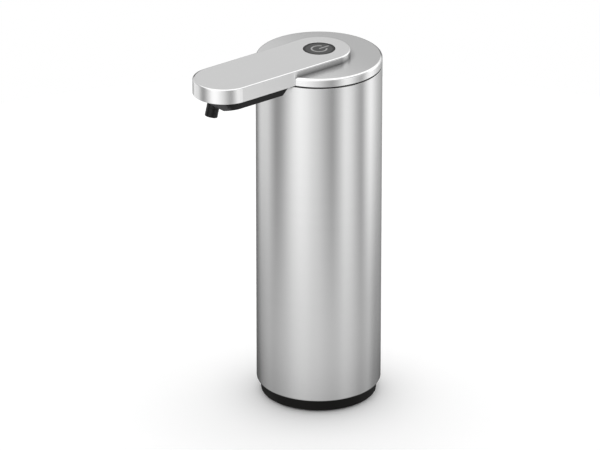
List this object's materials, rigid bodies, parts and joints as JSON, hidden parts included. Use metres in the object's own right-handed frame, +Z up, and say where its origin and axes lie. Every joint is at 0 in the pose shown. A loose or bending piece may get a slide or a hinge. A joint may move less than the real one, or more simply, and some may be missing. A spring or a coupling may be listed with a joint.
{
  "type": "automatic soap dispenser",
  "caption": "Sensor soap dispenser: brushed steel cylinder with a lift-out pump head, a flat spout arm, an angled nozzle and a round power button on top.",
  "frame": {"origin": "centre of the rubber foot's underside, on the axis of the cylinder", "axes": "+Z up along the cylinder; the spout arm and nozzle point along -Y; +X is to the right of someone who faces along +Y"},
  "size_m": [0.065, 0.1102, 0.192],
  "materials": {
    "brushed_steel": "lengthwise brushed stainless steel",
    "black_plastic": "satin black moulding",
    "button_plastic": "satin dark grey moulding",
    "tank_plastic": "natural, slightly milky moulding",
    "grey_plastic": "plain grey moulding",
    "gear_plastic": "smooth ivory acetal",
    "window_plastic": "polished, dark, passes infrared",
    "black_rubber": "matt",
    "clear_silicone": "smooth translucent silicone",
    "plated_steel": "bright zinc plate",
    "nickel": "nickel-plated spring strip",
    "board_green": "solder mask",
    "cell_jacket": "plain printed jacket with no words"
  },
  "bodies": {
    "body": {"outer_shell": "brushed_steel", "soap_tank": "tank_plastic", "base_cup": "black_plastic", "foot_pad": "black_rubber", "base_screw_1": "plated_steel", "base_screw_2": "plated_steel", "base_screw_3": "plated_steel"},
    "head": {"arm_cover": "brushed_steel", "arm_screw_1": "plated_steel", "arm_screw_2": "plated_steel", "arm_tray": "black_plastic", "battery_1": "cell_jacket", "battery_2": "cell_jacket", "battery_3": "cell_jacket", "battery_4": "cell_jacket", "button_spring": "plated_steel", "cap": "brushed_steel", "case_screw_1": "plated_steel", "case_screw_2": "plated_steel", "case_screw_3": "plated_steel", "contact_bridge": "nickel", "contact_minus": "nickel", "contact_plus": "nickel", "gear_plate": "grey_plastic", "head_frame": "black_plastic", "idler_pin": "plated_steel", "inlet_strainer": "grey_plastic", "inner_plate": "grey_plastic", "ir_emitter": "window_plastic", "ir_receiver": "window_plastic", "main_board": "board_green", "motor": "plated_steel", "nozzle": "black_plastic", "nozzle_valve": "clear_silicone", "outlet_hose": "clear_silicone", "pump_body": "grey_plastic", "pump_case": "grey_plastic", "pump_cover": "grey_plastic", "rim_seal": "black_rubber", "sensor_board": "board_green", "sensor_cable": "black_plastic", "sensor_window": "window_plastic", "suction_tube": "clear_silicone", "tact_switch": "black_plastic", "tray_screw_1": "plated_steel", "tray_screw_2": "plated_steel"},
    "button": {"power_button": "button_plastic"},
    "motor_rotor": {"motor_pinion": "gear_plastic"},
    "pump_drive": {"drive_shaft": "plated_steel", "drive_gear": "gear_plastic", "pump_gear_driver": "gear_plastic"},
    "pump_idler": {"pump_gear_idler": "gear_plastic"},
    "battery_door": {"battery_door": "grey_plastic", "door_seal": "black_rubber", "door_contact_left": "nickel", "door_contact_right": "nickel"}
  },
  "joints": [
    {"name": "head_lift", "type": "slide", "parent": "body", "child": "head", "axis": [0, 0, 1], "range_m": [0, 0.175]},
    {"name": "button_press", "type": "slide", "parent": "head", "child": "button", "axis": [0, 0, -1], "range_m": [0, 0.0008], "stiffness_N_per_m": 400, "springref_m": -0.002, "deforming": ["button_spring"]},
    {"name": "pump_drive", "type": "hinge", "parent": "head", "child": "pump_drive", "pos_m": [0.00125, -0.0068, 0.1463], "axis": [0, 0, 1], "continuous": true},
    {"name": "motor_spin", "type": "hinge", "parent": "head", "child": "motor_rotor", "pos_m": [-0.00925, -0.0068, 0.1463], "axis": [0, 0, 1], "continuous": true},
    {"name": "pump_idler", "type": "hinge", "parent": "head", "child": "pump_idler", "pos_m": [0.00925, -0.0068, 0.137], "axis": [0, 0, 1], "continuous": true},
    {"name": "battery_door_slide", "type": "slide", "parent": "head", "child": "battery_door", "axis": [0, 0, -1], "range_m": [0, 0.05]}
  ],
  "couplings": [
    {"joint": "motor_spin", "follows": "pump_drive", "ratio": -2.5},
    {"joint": "pump_idler", "follows": "pump_drive", "ratio": -1}
  ]
}
